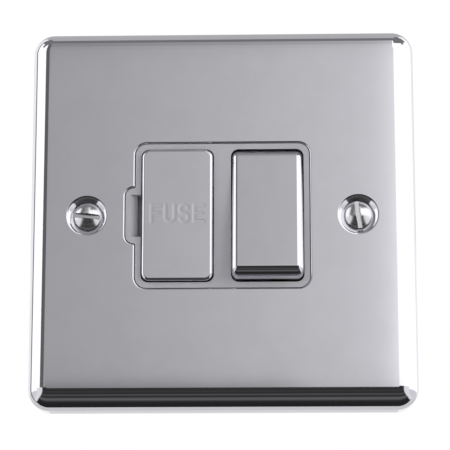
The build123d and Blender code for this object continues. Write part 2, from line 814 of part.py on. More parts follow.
with BuildPart() as fuse_carrier_body:
    with BuildSketch(wall_plane(carrier_cap_back)):
        with Locations((carrier_x, 0)):
            Rectangle(carrier_end_width, carrier_height)
    extrude(amount=-carrier_web)
    with BuildSketch(wall_plane(fuse_level)):
        with Locations((carrier_x, 0)):
            Rectangle(2 * (fuse_radius + fuse_fit + carrier_cheek), carrier_cheek_height)
            with GridLocations(0, carrier_height - carrier_end_wall, 1, 2):
                Rectangle(carrier_end_width, carrier_end_wall)
    extrude(amount=carrier_cap_back - fuse_level)
    with BuildSketch(wall_plane(fuse_level)):
        with Locations((carrier_x, 0)):
            with GridLocations(0, carrier_height - carrier_end_wall, 1, 2):
                Rectangle(carrier_end_width, carrier_end_wall)
    extrude(amount=-fuse_radius - carrier_end_reach)
    with BuildSketch(level_plane(carrier_cheek_height / 2)):
        with Locations((carrier_x, fuse_level)):
            Rectangle(
                2 * (fuse_radius + fuse_fit + carrier_cheek),
                fuse_radius + fuse_fit + carrier_hook,
                align=(Align.CENTER, Align.MAX),
            )
    extrude(amount=carrier_cheek_height)
    with BuildSketch(level_plane(carrier_cheek_height / 2)):
        with Locations((carrier_x, fuse_level)):
            Circle(fuse_radius + fuse_fit)
            Rectangle(
                2 * (fuse_radius - carrier_hook),
                2 * fuse_radius + carrier_hook,
                align=(Align.CENTER, Align.MAX),
            )
    extrude(amount=carrier_cheek_height, mode=Mode.SUBTRACT)
save(fuse_carrier_body, "fuse_carrier_body")

with BuildPart() as fuse_barrel:
    with BuildSketch(level_plane(fuse_length / 2 - fuse_cap_wall)):
        with Locations((carrier_x, fuse_level)):
            Circle(fuse_radius - fuse_cap_wall)
    extrude(amount=fuse_length - 2 * fuse_cap_wall)
save(fuse_barrel, "fuse_barrel")

with BuildPart() as fuse_end_caps:
    for side in (-1, 1):
        with BuildSketch(level_plane(side * fuse_length / 2)):
            with Locations((carrier_x, fuse_level)):
                Circle(fuse_radius)
        extrude(amount=side * fuse_cap_length)
        with BuildSketch(level_plane(side * (fuse_length / 2 - fuse_cap_wall))):
            with Locations((carrier_x, fuse_level)):
                Circle(fuse_radius - fuse_cap_wall)
        extrude(amount=side * (fuse_cap_length - fuse_cap_wall), mode=Mode.SUBTRACT)
save(fuse_end_caps, "fuse_end_caps")
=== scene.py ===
import logging
import math
from dataclasses import dataclass
from enum import Enum
from typing import Any, Optional, Sequence, Union

import bmesh
import bpy
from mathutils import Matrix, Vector


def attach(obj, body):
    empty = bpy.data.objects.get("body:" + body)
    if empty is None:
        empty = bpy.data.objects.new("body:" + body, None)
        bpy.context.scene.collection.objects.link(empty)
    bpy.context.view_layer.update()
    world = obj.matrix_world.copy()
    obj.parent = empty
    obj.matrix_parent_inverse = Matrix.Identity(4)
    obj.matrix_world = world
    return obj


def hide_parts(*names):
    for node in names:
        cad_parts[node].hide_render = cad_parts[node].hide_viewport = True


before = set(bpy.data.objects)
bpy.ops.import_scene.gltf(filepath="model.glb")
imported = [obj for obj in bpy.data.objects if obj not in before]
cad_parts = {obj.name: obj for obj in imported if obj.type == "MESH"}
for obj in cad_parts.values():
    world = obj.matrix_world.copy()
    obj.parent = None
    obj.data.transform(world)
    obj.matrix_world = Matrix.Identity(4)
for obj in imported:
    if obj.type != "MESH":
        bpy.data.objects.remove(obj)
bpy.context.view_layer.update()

LOG = logging.getLogger("spur_unit")
# Sizes of pieces are in millimetres, angles in degrees and the studio's sizes in metres.
# A level is a distance in front of the wall.
MM = 0.001
# Edges of made pieces that are sharper than this stay sharp.
CREASE = 35.0
# Edges of CAD nodes that are sharper than this are softened, in this many steps.
EDGE_ANGLE = 40.0
EDGE_STEPS = 2
# How far large faces outweigh small ones at a softened edge.
FLAT_WEIGHT = 80
# Points nearer than this, in metres, are one: in made meshes, and in the meshes of CAD nodes.
SAME_PLACE = 1e-7
WELD_GAP = 0.5e-6
# Keeps a run without length from a division by nothing.
TINY = 1e-9
Point = tuple[float, float]
Triple = tuple[float, float, float]
Colour = Triple


def at(x: float, level: float, z: float) -> Vector:
    """A point from millimetres: x to the right, level in front of the wall, z up."""
    return Vector((x * MM, -level * MM, z * MM))


def grey(tone: float) -> Colour:
    """A neutral colour."""
    return (tone, tone, tone)


class Sock:
    """One shader value that can be used in Python arithmetic."""

    def __init__(self, shader: "Shader", link: bpy.types.NodeSocket) -> None:
        """Keep the socket and the node tree that it belongs to."""
        self.shader = shader
        self.link = link

    def _math(self, operation: str, first: Any, second: Any) -> "Sock":
        """Add a Math node on two sockets or numbers."""
        return self.shader.node("ShaderNodeMath", {"operation": operation}, {0: first, 1: second})

    def __add__(self, other: Any) -> "Sock":
        """Sum."""
        return self._math("ADD", self, other)

    def __radd__(self, other: Any) -> "Sock":
        """Sum with a number on the left."""
        return self._math("ADD", other, self)

    def __sub__(self, other: Any) -> "Sock":
        """Difference."""
        return self._math("SUBTRACT", self, other)

    def __rsub__(self, other: Any) -> "Sock":
        """Difference with a number on the left."""
        return self._math("SUBTRACT", other, self)

    def __mul__(self, other: Any) -> "Sock":
        """Product."""
        return self._math("MULTIPLY", self, other)

    def __rmul__(self, other: Any) -> "Sock":
        """Product with a number on the left."""
        return self._math("MULTIPLY", other, self)

    def __truediv__(self, other: Any) -> "Sock":
        """Quotient."""
        return self._math("DIVIDE", self, other)

    def __rtruediv__(self, other: Any) -> "Sock":
        """Quotient with a number on the left."""
        return self._math("DIVIDE", other, self)

    def larger(self, other: Any) -> "Sock":
        """The larger of two values."""
        return self._math("MAXIMUM", self, other)

    def span(self, low: float, high: float, to_low: float = 0.0, to_high: float = 1.0) -> "Sock":
        """Smooth step of this value.

        Args:
            low: where the step starts.
            high: where the step ends.
            to_low: result below the step.
            to_high: result above the step.

        Returns:
            The stepped value.
        """
        return self.shader.node(
            "ShaderNodeMapRange",
            {"interpolation_type": "SMOOTHSTEP"},
            {"Value": self, "From Min": low, "From Max": high, "To Min": to_low, "To Max": to_high},
        )


class Shader:
    """A node tree of a material or of the world, built from expressions."""

    def __init__(self, tree: bpy.types.NodeTree, output: str = "ShaderNodeOutputMaterial") -> None:
        """Empty the tree and give it its output node.

        Args:
            tree: the node tree.
            output: the output node's type.
        """
        self.tree = tree
        tree.nodes.clear()
        self.output = tree.nodes.new(output)

    def node(
        self,
        kind: str,
        settings: Optional[dict[str, Any]] = None,
        inputs: Optional[dict[Union[str, int], Any]] = None,
        out: Union[str, int] = 0,
    ) -> Sock:
        """Add a node.

        Args:
            kind: the node's type.
            settings: the node's own settings, or a ramp's stops, which are set first.
            inputs: values or links of its sockets, by name or number.
            out: the output that is wanted.

        Returns:
            That output.
        """
        made = self.tree.nodes.new(kind)
        for name, value in (settings or {}).items():
            if name == "stops":
                self._stops(made.color_ramp, value)
            else:
                setattr(made, name, value)
        for name, value in (inputs or {}).items():
            socket = made.inputs[name]
            if isinstance(value, Sock):
                self.tree.links.new(value.link, socket)
            elif isinstance(value, tuple) and len(value) == 3 and socket.type == "RGBA":
                socket.default_value = (*value, 1.0)
            else:
                socket.default_value = value
        return Sock(self, made.outputs[out])

    @staticmethod
    def _stops(ramp: bpy.types.ColorRamp, stops: Sequence[Point]) -> None:
        """Set a ramp's stops.

        Args:
            ramp: the ramp.
            stops: pairs of place and grey tone.
        """
        while len(ramp.elements) > 1:
            ramp.elements.remove(ramp.elements[-1])
        for index, (place, tone) in enumerate(stops):
            element = ramp.elements[0] if index == 0 else ramp.elements.new(place)
            element.position = place
            element.color = (*grey(tone), 1.0)

    def ramp(self, share: Sock, stops: Sequence[Point]) -> Sock:
        """Grey tone that follows a value from 0 to 1."""
        return self.node("ShaderNodeValToRGB", {"stops": stops}, {"Fac": share})

    def along(self, axis: str, source: str = "Object") -> Sock:
        """One coordinate of the place on the piece in metres, or of its normal."""
        where = self.node("ShaderNodeTexCoord", out=source)
        return self.node("ShaderNodeSeparateXYZ", inputs={0: where}, out=axis)

    def place(self, stretch: Triple) -> Sock:
        """Place on the piece in millimetres.

        Args:
            stretch: how much each axis is stretched.

        Returns:
            The vector.
        """
        where = self.node("ShaderNodeTexCoord", out="Object")
        scale = tuple(value / MM for value in stretch)
        return self.node("ShaderNodeVectorMath", {"operation": "MULTIPLY"}, {0: where, 1: scale})

    def noise(
        self,
        size: float,
        detail: float,
        stretch: Triple = (1.0, 1.0, 1.0),
        fall: float = 0.55,
    ) -> Sock:
        """Soft noise.

        Args:
            size: rough size of its patches in millimetres.
            detail: how many finer octaves it has.
            stretch: how much each axis is stretched.
            fall: how strong each finer octave is beside the one before.

        Returns:
            A value about 0.5.
        """
        return self.node(
            "ShaderNodeTexNoise",
            inputs={"Vector": self.place(stretch), "Scale": 1.0 / size, "Detail": detail, "Roughness": fall},
        )

    def tint(self, amount: Any, first: Any, second: Any) -> Sock:
        """Blend of two linear colours or sockets, by the share of the second."""
        return self.node("ShaderNodeMix", {"data_type": "RGBA"}, {0: amount, 6: first, 7: second}, out=2)

    def bump(self, height: Sock, strength: float, distance: float) -> Sock:
        """Normal of a surface whose height runs from 0 to 1 over a distance in millimetres."""
        inputs = {"Height": height, "Strength": strength, "Distance": distance * MM}
        return self.node("ShaderNodeBump", inputs=inputs)

    def finish(self, **inputs: Any) -> None:
        """Close the tree with a Principled shader.

        Args:
            inputs: its sockets, with spaces written as underscores.
        """
        named = {name.replace("_", " "): value for name, value in inputs.items()}
        surface = self.node("ShaderNodeBsdfPrincipled", inputs=named)
        self.tree.links.new(surface.link, self.output.inputs["Surface"])


class Lay(Enum):
    """Direction of the marks that a tool leaves on a metal."""

    ROUND = (1.0, 1.0, 1.0)
    ALONG_X = (0.06, 1.0, 1.0)
    ALONG_Z = (1.0, 1.0, 0.06)


@dataclass(frozen=True)
class Finish:
    """What all finishes share: a name and one material made on first use."""

    name: str
    colour: Colour

    def material(self) -> bpy.types.Material:
        """Make the material, or find the one already made.

        Returns:
            The material.
        """
        found = bpy.data.materials.get("finish_" + self.name)
        if found is not None:
            return found
        made = bpy.data.materials.new("finish_" + self.name)
        made.use_nodes = True
        made.diffuse_color = (*self.colour, 1.0)
        self.shade(Shader(made.node_tree))
        return made

    def shade(self, shader: Shader) -> None:
        """Build the node tree."""
        raise NotImplementedError

    def toned(self, share: float) -> Colour:
        """The finish's colour, lighter or darker by a share."""
        return tuple(min(1.0, value * share) for value in self.colour)


class Back(Enum):
    """What the side of a plated piece that faces the wall looks like."""

    BRIGHT = "bright"
    DULL = "dull"


@dataclass(frozen=True)
class PolishedPlating(Finish):
    """Bright plating over a polished pressing, with faint waviness and polishing haze."""

    roughness: float = 0.05
    back: Back = Back.BRIGHT
    haze: float = 6.0
    haze_span: Point = (0.35, 0.7)
    haze_tone: float = 0.975
    haze_gloss: float = 0.012
    rub: float = 0.9
    rub_gloss: float = 0.010
    wave: float = 9.0
    wave_strength: float = 0.10
    wave_depth: float = 0.02
    back_span: Point = (0.05, 0.35)
    back_colour: Colour = (0.42, 0.42, 0.43)
    back_share: float = 0.55
    back_haze: float = 0.3
    back_gloss: float = 0.30
    back_rub: float = 0.10

    def shade(self, shader: Shader) -> None:
        """Build the node tree.

        Args:
            shader: the empty tree.
        """
        haze = shader.noise(self.haze, detail=3.0)
        rub = shader.noise(self.rub, detail=2.0, stretch=Lay.ALONG_X.value)
        wave = shader.noise(self.wave, detail=1.0)
        colour = shader.tint(haze.span(*self.haze_span), self.colour, self.toned(self.haze_tone))
        rough = self.roughness + self.haze_gloss * (haze - 0.5) + self.rub_gloss * (rub - 0.5)
        if self.back is Back.DULL:
            dull = shader.along("Y", "Normal").span(*self.back_span)
            colour = shader.tint(dull * (self.back_share + self.back_haze * haze), colour, self.back_colour)
            rough = rough + dull * (self.back_gloss + self.back_rub * rub)
        shader.finish(
            Base_Color=colour,
            Metallic=1.0,
            Roughness=rough,
            Normal=shader.bump(wave, self.wave_strength, self.wave_depth),
        )


@dataclass(frozen=True)
class FloorPaint(Finish):
    """Smooth pale paint of the studio floor."""

    roughness: float = 0.75
    sweep: float = 160.0
    sweep_span: Point = (0.3, 0.7)
    sweep_tone: float = 0.985
    sweep_gloss: float = 0.1

    def shade(self, shader: Shader) -> None:
        """Build the node tree.

        Args:
            shader: the empty tree.
        """
        sweep = shader.noise(self.sweep, detail=2.0)
        colour = shader.tint(sweep.span(*self.sweep_span), self.colour, self.toned(self.sweep_tone))
        shader.finish(Base_Color=colour, Roughness=self.roughness + self.sweep_gloss * (sweep - 0.5))


@dataclass(frozen=True)
class SatinMoulding(Finish):
    """Moulded plastic with a fine spark-eroded skin and slight flow shading."""

    roughness: float = 0.40
    grain: float = 0.22
    grain_gloss: float = 0.10
    grain_strength: float = 0.35
    grain_depth: float = 0.02
    flow: float = 7.0
    flow_span: Point = (0.3, 0.7)
    flow_tones: Point = (0.97, 1.03)
    flow_gloss: float = 0.05

    def shade(self, shader: Shader) -> None:
        """Build the node tree.

        Args:
            shader: the empty tree.
        """
        flow = shader.noise(self.flow, detail=3.0)
        grain = shader.noise(self.grain, detail=2.0)
        dark, light = (self.toned(tone) for tone in self.flow_tones)
        shader.finish(
            Base_Color=shader.tint(flow.span(*self.flow_span), dark, light),
            Roughness=self.roughness + self.grain_gloss * (grain - 0.5) + self.flow_gloss * (flow - 0.5),
            Normal=shader.bump(grain, self.grain_strength, self.grain_depth),
        )


@dataclass(frozen=True)
class GlossMoulding(Finish):
    """Hard white moulding with mottling under a smooth skin."""

    roughness: float = 0.24
    mottle: float = 2.6
    mottle_span: Point = (0.3, 0.72)
    mottle_tone: float = 0.95
    mottle_gloss: float = 0.10
    speck: float = 0.35
    speck_span: Point = (0.6, 0.75)
    speck_gloss: float = 0.08
    skin: float = 1.4
    skin_strength: float = 0.25
    skin_depth: float = 0.03

    def shade(self, shader: Shader) -> None:
        """Build the node tree.

        Args:
            shader: the empty tree.
        """
        mottle = shader.noise(self.mottle, detail=4.0)
        speck = shader.noise(self.speck, detail=1.0).span(*self.speck_span)
        skin = shader.noise(self.skin, detail=2.0)
        shader.finish(
            Base_Color=shader.tint(mottle.span(*self.mottle_span), self.toned(self.mottle_tone), self.colour),
            Roughness=self.roughness + self.mottle_gloss * (mottle - 0.5) + self.speck_gloss * speck,
            Normal=shader.bump(skin, self.skin_strength, self.skin_depth),
        )


@dataclass(frozen=True)
class WorkedMetal(Finish):
    """Bare or plated metal with tool marks, light tarnish and uneven gloss."""

    roughness: float = 0.28
    lay: Lay = Lay.ROUND
    marks: float = 0.18
    tarnish: Colour = (0.4, 0.3, 0.2)
    tarnish_share: float = 0.35
    marks_gloss: float = 0.16
    marks_strength: float = 0.30
    marks_depth: float = 0.02
    stain: float = 2.8
    stain_span: Point = (0.45, 0.75)
    dull_span: Point = (0.5, 0.8)
    dull_gloss: float = 0.12

    def shade(self, shader: Shader) -> None:
        """Build the node tree.

        Args:
            shader: the empty tree.
        """
        marks = shader.noise(self.marks, detail=3.0, stretch=self.lay.value)
        stain = shader.noise(self.stain, detail=4.0)
        tarnish = self.tarnish_share * stain.span(*self.stain_span)
        dull = self.dull_gloss * stain.span(*self.dull_span)
        shader.finish(
            Base_Color=shader.tint(tarnish, self.colour, self.tarnish),
            Metallic=1.0,
            Roughness=self.roughness + self.marks_gloss * (marks - 0.5) + dull,
            Normal=shader.bump(marks, self.marks_strength, self.marks_depth),
        )


@dataclass(frozen=True)
class GlazedCeramic(Finish):
    """Glazed off-white tube with a slightly uneven glaze."""

    roughness: float = 0.188
    coat: float = 0.4
    glaze: float = 1.8
    glaze_gloss: float = 0.14
    glaze_strength: float = 0.25
    glaze_depth: float = 0.02
    speck: float = 0.25
    speck_span: Point = (0.66, 0.74)
    speck_share: float = 0.35
    speck_colour: Colour = (0.55, 0.47, 0.36)

    def shade(self, shader: Shader) -> None:
        """Build the node tree.

        Args:
            shader: the empty tree.
        """
        glaze = shader.noise(self.glaze, detail=4.0)
        speck = shader.noise(self.speck, detail=1.0).span(*self.speck_span)
        shader.finish(
            Base_Color=shader.tint(speck * self.speck_share, self.colour, self.speck_colour),
            Roughness=self.roughness + self.glaze_gloss * (glaze - 0.5),
            Coat_Weight=self.coat * glaze,
            Normal=shader.bump(glaze, self.glaze_strength, self.glaze_depth),
        )


class Finishes:
    """The finishes of this unit, one for each material slot of the record."""

    PLATE = PolishedPlating("plate_chrome", (0.80, 0.790, 0.842), back=Back.DULL)
    TRIM = PolishedPlating("trim_chrome", (0.815, 0.805, 0.857))
    SCREW = PolishedPlating("screw_chrome", (0.79, 0.783, 0.815), 0.2)
    INSERT = SatinMoulding("insert_grey", (0.385, 0.380, 0.405), 0.32)
    BASE = GlossMoulding("base_white", (0.80, 0.80, 0.78))
    CARRIER = SatinMoulding("carrier_white", (0.78, 0.78, 0.76), 0.42, 0.30)
    PLUNGER = SatinMoulding("plunger_plastic", (0.70, 0.70, 0.66), 0.34, 0.25)
    CERAMIC = GlazedCeramic("fuse_ceramic", (0.86, 0.84, 0.78))
    NICKEL = WorkedMetal("fuse_nickel", (0.70, 0.69, 0.66), 0.20, Lay.ALONG_Z, 0.20,
                         (0.55, 0.50, 0.42), 0.3)
    TERMINAL = WorkedMetal("terminal_brass", (0.78, 0.60, 0.30), 0.26, Lay.ALONG_X, 0.16,
                           (0.45, 0.30, 0.13), 0.4)
    STRIP = WorkedMetal("strip_brass", (0.76, 0.57, 0.27), 0.30, Lay.ALONG_Z, 0.14,
                        (0.42, 0.27, 0.12), 0.45)
    SILVER = WorkedMetal("contact_silver", (0.85, 0.85, 0.83), 0.22, Lay.ROUND, 0.12,
                         (0.45, 0.43, 0.40), 0.4)
    ZINC = WorkedMetal("zinc_steel", (0.66, 0.67, 0.68), 0.30, Lay.ROUND, 0.15,
                       (0.58, 0.56, 0.50), 0.5)
    SPRING = WorkedMetal("spring_steel", (0.55, 0.55, 0.56), 0.25, Lay.ROUND, 0.10,
                         (0.36, 0.32, 0.28), 0.4)


class Skin:
    """A mesh under construction, made of rings of points that are joined by faces."""

    def __init__(self, name: str) -> None:
        """Start an empty mesh."""
        self.name = name
        self.mesh = bmesh.new()

    def ring(self, points: Sequence[Vector]) -> list[bmesh.types.BMVert]:
        """Add a ring of vertices."""
        return [self.mesh.verts.new(point) for point in points]

    def bridge(
        self,
        first: Sequence[bmesh.types.BMVert],
        second: Sequence[bmesh.types.BMVert],
        closed: bool = True,
    ) -> None:
        """Join two rings of equal length by quads.

        Args:
            first: one ring.
            second: the next ring.
            closed: whether the rings run right round.
        """
        count = len(first)
        for index in range(count if closed else count - 1):
            after = (index + 1) % count
            corners = (first[index], first[after], second[after], second[index])
            self.mesh.faces.new(corners).smooth = True

    def sweep(self, rows: Sequence[Sequence[Vector]], closed: bool = True) -> list[list[bmesh.types.BMVert]]:
        """Join rows of points one after another.

        Args:
            rows: rings of points.
            closed: whether the rings run right round.

        Returns:
            The rings' vertices.
        """
        rings = [self.ring(row) for row in rows]
        for first, second in zip(rings, rings[1:]):
            self.bridge(first, second, closed)
        return rings

    def cap(self, ring: Sequence[bmesh.types.BMVert]) -> None:
        """Close a ring with one flat face."""
        self.mesh.faces.new(ring).smooth = False

    def sheet(self, *rings: Sequence[bmesh.types.BMVert]) -> None:
        """Fill a flat area between an outline and the outlines of its holes.

        Args:
            rings: the outline first, then the holes.
        """
        edges = []
        for ring in rings:
            for first, second in zip(ring, [*ring[1:], ring[0]]):
                edges.append(self.mesh.edges.get((first, second)) or self.mesh.edges.new((first, second)))
        filled = bmesh.ops.triangle_fill(self.mesh, use_beauty=True, use_dissolve=False, edges=edges)
        for face in filled["geom"]:
            if isinstance(face, bmesh.types.BMFace):
                face.smooth = False

    def corner_normals(self, crease: float) -> list[Vector]:
        """Normals at the faces' corners, where a flat face sets those of the round that runs into it.

        Args:
            crease: edges sharper than this, in degrees, stay sharp.

        Returns:
            One normal for each corner of each face.
        """
        limit = math.cos(math.radians(crease))
        area = {face: face.calc_area() for face in self.mesh.faces}
        normals = []
        for face in self.mesh.faces:
            for corner in face.loops:
                near = [other for other in corner.vert.link_faces if other.normal.dot(face.normal) > limit]
                flat = [other for other in near if not other.smooth]
                total = sum((other.normal * area[other] for other in flat or near), Vector())
                normals.append(total.normalized())
        return normals

    def linked(self, material: bpy.types.Material) -> bpy.types.Object:
        """Turn the mesh into an object.

        Args:
            material: its material.

        Returns:
            The object, linked to the scene.
        """
        data = bpy.data.meshes.new(self.name)
        self.mesh.to_mesh(data)
        self.mesh.free()
        data.materials.append(material)
        made = bpy.data.objects.new(self.name, data)
        bpy.context.scene.collection.objects.link(made)
        return made

    def piece(self, finish: Finish, crease: float = CREASE) -> bpy.types.Object:
        """Finish the mesh as a piece of the part.

        Args:
            finish: its material.
            crease: edges sharper than this, in degrees, stay sharp.

        Returns:
            The object, linked to the scene.
        """
        bmesh.ops.remove_doubles(self.mesh, verts=self.mesh.verts[:], dist=SAME_PLACE)
        bmesh.ops.recalc_face_normals(self.mesh, faces=self.mesh.faces[:])
        self.mesh.normal_update()
        normals = self.corner_normals(crease)
        made = self.linked(finish.material())
        made.data.shade_smooth()
        made.data.normals_split_custom_set(normals)
        return made


def weigh(piece: bpy.types.Object) -> None:
    """Let large faces set the normals at rounded edges.

    Args:
        piece: the piece.
    """
    modifier = piece.modifiers.new("weighted", "WEIGHTED_NORMAL")
    modifier.weight = FLAT_WEIGHT
    modifier.keep_sharp = True


def arc(centre: Point, radius: float, start: float, end: float, steps: int) -> list[Point]:
    """Points along an arc of that many chords, both ends included, with the angles in degrees."""
    turn = [math.radians(start + (end - start) * index / steps) for index in range(steps + 1)]
    return [(centre[0] + radius * math.cos(a), centre[1] + radius * math.sin(a)) for a in turn]


def rounded_outline(half_width: float, half_height: float, corner: float, steps: int) -> list[Point]:
    """Outline of a rectangle with round corners.

    Args:
        half_width: half its width.
        half_height: half its height.
        corner: corner radius.
        steps: chords of each corner.

    Returns:
        Its points, anticlockwise from the right side.
    """
    x, z = half_width - corner, half_height - corner
    points = arc((x, z), corner, 0, 90, steps)
    points += arc((-x, z), corner, 90, 180, steps)
    points += arc((-x, -z), corner, 180, 270, steps)
    return points + arc((x, -z), corner, 270, 360, steps)


def circle(x: float, radius: float, level: float, steps: int) -> list[Vector]:
    """Circle about an axis that runs into the wall."""
    return [at(px, level, pz) for px, pz in arc((x, 0), radius, 0, 360 - 360 / steps, steps - 1)]


def smooth(share: float) -> float:
    """Smooth step of a share, held between 0 and 1."""
    held = min(1.0, max(0.0, share))
    return held * held * (3 - 2 * held)


def distance_to(strokes: Sequence[Sequence[Point]], x: float, z: float) -> float:
    """Distance from a place to lines of straight runs.

    Args:
        strokes: the lines' points.
        x: place across.
        z: place up.

    Returns:
        The shortest distance.
    """
    best = math.inf
    for stroke in strokes:
        for (x0, z0), (x1, z1) in zip(stroke, stroke[1:]):
            dx, dz = x1 - x0, z1 - z0
            share = ((x - x0) * dx + (z - z0) * dz) / max(dx * dx + dz * dz, TINY)
            share = min(1.0, max(0.0, share))
            best = min(best, math.hypot(x - x0 - share * dx, z - z0 - share * dz))
    return best


def adopt(piece: bpy.types.Object, body: str, slot: str, *nodes: str) -> bpy.types.Object:
    """Attach a new piece to its body and hide the CAD nodes that it stands for.

    Args:
        piece: the new piece.
        body: the body that it rides on.
        slot: the record's slot; not used.
        nodes: the CAD nodes that it stands for.

    Returns:
        The piece.
    """
    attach(piece, body)
    if nodes:
        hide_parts(*nodes)
    LOG.info("piece %s on %s", piece.name, body)
    return piece


def dress(node: str, finish: Finish, edge: float = 0.0) -> None:
    """Give a CAD node its finish and softened edges.

    Args:
        node: the node's name.
        finish: its finish.
        edge: width of the softened edges in millimetres.
    """
    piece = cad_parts[node]
    piece.data.materials.clear()
    piece.data.materials.append(finish.material())
    if edge > 0:
        weld = piece.modifiers.new("weld", "WELD")
        weld.merge_threshold = WELD_GAP
        bevel = piece.modifiers.new("soft_edges", "BEVEL")
        bevel.width = edge * MM
        bevel.segments = EDGE_STEPS
        bevel.limit_method = "ANGLE"
        bevel.angle_limit = math.radians(EDGE_ANGLE)
        bevel.miter_outer = "MITER_ARC"
        weigh(piece)
    LOG.info("node %s as %s", node, finish.name)


@dataclass
class Faceplate:
    """Pressed plate with a rolled edge, the insert's opening and two screw dimples."""

    half: float = 43.0
    depth: float = 9.0
    corner: float = 4.75
    edge: float = 4.5
    sheet: float = 1.0
    screw_x: float = 30.15
    dimple: float = 4.63
    dimple_lip: float = 0.8
    dimple_slope: float = 40.0
    throat: float = 3.0
    seat: float = 4.55
    hole: float = 2.0
    hole_back: float = 5.9
    opening_half_width: float = 19.5
    opening_half_height: float = 16.5
    opening_corner: float = 2.65
    tab_reach: float = 21.7
    tab_half_height: float = 6.4
    tab_corner: float = 1.95
    root: float = 0.4
    lip: float = 0.35
    foot_edge: float = 0.12
    plate_steps: int = 24
    roll_steps: int = 40
    opening_steps: int = 12
    tab_steps: int = 10
    root_steps: int = 6
    lip_steps: int = 6
    bend_steps: int = 8
    cup_steps: int = 128

    def opening(self, grow: float, level: float) -> list[Vector]:
        """Outline of the insert's opening with its screwdriver tab.

        Args:
            grow: how far it is grown all round.
            level: its level.

        Returns:
            Its points.
        """
        a = self.opening_half_width + grow
        b = self.opening_half_height + grow
        r = self.opening_corner + grow
        t = self.tab_reach + grow
        h = self.tab_half_height + grow
        c = self.tab_corner + grow
        k = self.root - grow
        wide, tab, root = self.opening_steps, self.tab_steps, self.root_steps
        points = arc((a - r, b - r), r, 0, 90, wide) + arc((r - a, b - r), r, 90, 180, wide)
        points += arc((-a - k, h + k), k, 0, -90, root) + arc((c - t, h - c), c, 90, 180, tab)
        points += arc((c - t, c - h), c, 180, 270, tab) + arc((-a - k, -h - k), k, 90, 0, root)
        points += arc((r - a, r - b), r, 180, 270, wide) + arc((a - r, r - b), r, 270, 360, wide)
        return [at(x, level, z) for x, z in points]

    def square(self, inset: float, level: float) -> list[Vector]:
        """Outline of the plate at a level, inset from its edge."""
        outline = rounded_outline(self.half - inset, self.half - inset, self.corner - inset, self.plate_steps)
        return [at(x, level, z) for x, z in outline]

    def cup(self) -> list[Point]:
        """Profile of a dimple, from the front round to the back.

        Returns:
            Points of radius and level.
        """
        start = (self.dimple, self.depth - self.dimple_lip)
        profile = arc(start, self.dimple_lip, 90, 90 + self.dimple_slope, self.bend_steps)
        edge, level = profile[-1]
        fall = (edge - self.throat) * math.tan(math.radians(self.dimple_slope))
        profile.append((self.throat, level - fall))
        land = self.depth - self.seat + self.hole
        wall = self.sheet * math.sqrt(2)
        profile += [(self.hole, land), (self.hole, self.hole_back)]
        profile.append((self.hole + wall - (land - self.hole_back), self.hole_back))
        profile.append((self.seat - self.sheet + wall, self.depth - self.sheet))
        return profile

    def build(self) -> bpy.types.Object:
        """Build the plate.

        Returns:
            The piece.
        """
        skin = Skin("faceplate_pressing")
        seat, inner = self.depth - self.sheet, self.edge - self.sheet
        inside = arc((inner, seat - inner), inner, 90, 180, self.roll_steps // 2)
        profile = [(self.sheet + inset, level) for inset, level in inside]
        foot = self.foot_edge
        profile += [(self.sheet, foot), (self.sheet - foot, 0.0), (foot, 0.0), (0.0, foot)]
        profile += arc((self.edge, self.depth - self.edge), self.edge, 180, 90, self.roll_steps)
        rim = skin.sweep([self.square(*place) for place in profile])
        lip = arc((self.lip, self.depth - self.lip), self.lip, 90, 180, self.lip_steps)
        mouth = skin.sweep([self.opening(*place) for place in [*lip, (0.0, seat)]])
        fronts, backs = [mouth[0]], [mouth[-1]]
        for x in (-self.screw_x, self.screw_x):
            cup = skin.sweep([circle(x, *place, self.cup_steps) for place in self.cup()])
            fronts.append(cup[0])
            backs.append(cup[-1])
        skin.sheet(rim[-1], *fronts)
        skin.sheet(rim[0], *backs)
        return adopt(skin.piece(Finishes.PLATE), "unit", "plate_chrome", "faceplate")


